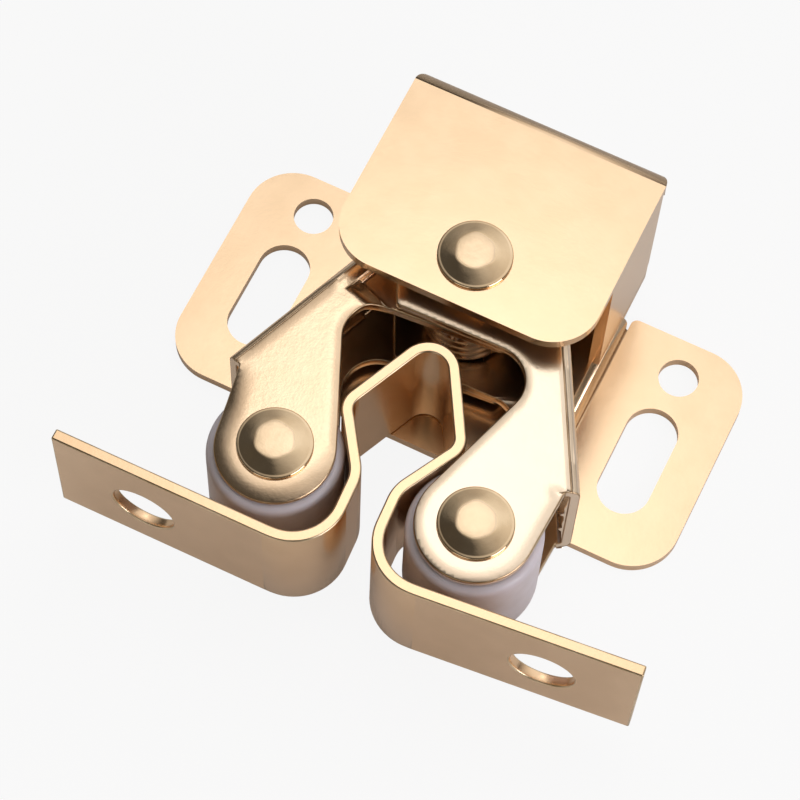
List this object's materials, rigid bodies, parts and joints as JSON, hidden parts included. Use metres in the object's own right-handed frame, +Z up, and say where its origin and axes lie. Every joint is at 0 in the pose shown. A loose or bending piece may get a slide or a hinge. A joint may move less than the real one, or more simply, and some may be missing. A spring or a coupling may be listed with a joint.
{
  "type": "double roller catch",
  "caption": "Folded-sheet roller catch: two sprung jaw arms with rollers grip a spear-shaped strike with swept mounting legs.",
  "frame": {"origin": "midway between the two round screw holes of the ears, on the mounting plane", "axes": "+Z up from the mounting plane along the ear screws, +Y to the rear wall of the housing, +X to the right ear seen from the front; the jaws and the strike are stored turned 3.1 degrees about the pivot, as in the picture"},
  "size_m": [0.0472, 0.0398, 0.0182],
  "materials": {
    "plated_sheet": "bright warm-toned plating",
    "rivet_steel": "bright, darker than the sheet",
    "white_nylon": "satin",
    "spring_wire": "drawn wire"
  },
  "bodies": {
    "housing": {"housing": "plated_sheet", "pivot_rivet": "rivet_steel"},
    "jaw_pair": {"arm_spring": "spring_wire"},
    "left_arm": {"left_arm": "plated_sheet", "left_roller_rivet": "rivet_steel"},
    "right_arm": {"right_arm": "plated_sheet", "right_roller_rivet": "rivet_steel"},
    "left_roller": {"left_roller": "white_nylon"},
    "right_roller": {"right_roller": "white_nylon"},
    "strike": {"strike": "plated_sheet"}
  },
  "joints": [
    {"name": "jaw_swing", "type": "hinge", "parent": "housing", "child": "jaw_pair", "pos_m": [0, -0.0054, 0.0093], "axis": [0, 0, 1], "range_deg": [-9.2, 3]},
    {"name": "strike_slide", "type": "slide", "parent": "jaw_pair", "child": "strike", "axis": [0.0541, -0.9985, 0], "range_m": [0, 0.0035]},
    {"name": "right_arm_open", "type": "hinge", "parent": "jaw_pair", "child": "right_arm", "pos_m": [0, -0.0054, 0.0093], "axis": [0, 0, 1], "range_deg": [0, 8], "stiffness_Nm_per_rad": 0.1, "springref_deg": -51.57, "deforming": ["arm_spring"]},
    {"name": "left_arm_open", "type": "hinge", "parent": "jaw_pair", "child": "left_arm", "pos_m": [0, -0.0054, 0.0093], "axis": [0, 0, -1], "range_deg": [0, 8], "stiffness_Nm_per_rad": 0.1, "springref_deg": -51.57},
    {"name": "right_roller_spin", "type": "hinge", "parent": "right_arm", "child": "right_roller", "pos_m": [0.0091, -0.02422, 0.0093], "axis": [0, 0, 1], "continuous": true},
    {"name": "left_roller_spin", "type": "hinge", "parent": "left_arm", "child": "left_roller", "pos_m": [-0.00701, -0.02509, 0.0093], "axis": [0, 0, 1], "continuous": true}
  ],
  "couplings": [
    {"joint": "right_arm_open", "follows": "strike_slide", "rad_per_m": 39.8},
    {"joint": "left_arm_open", "follows": "strike_slide", "rad_per_m": 39.8}
  ]
}
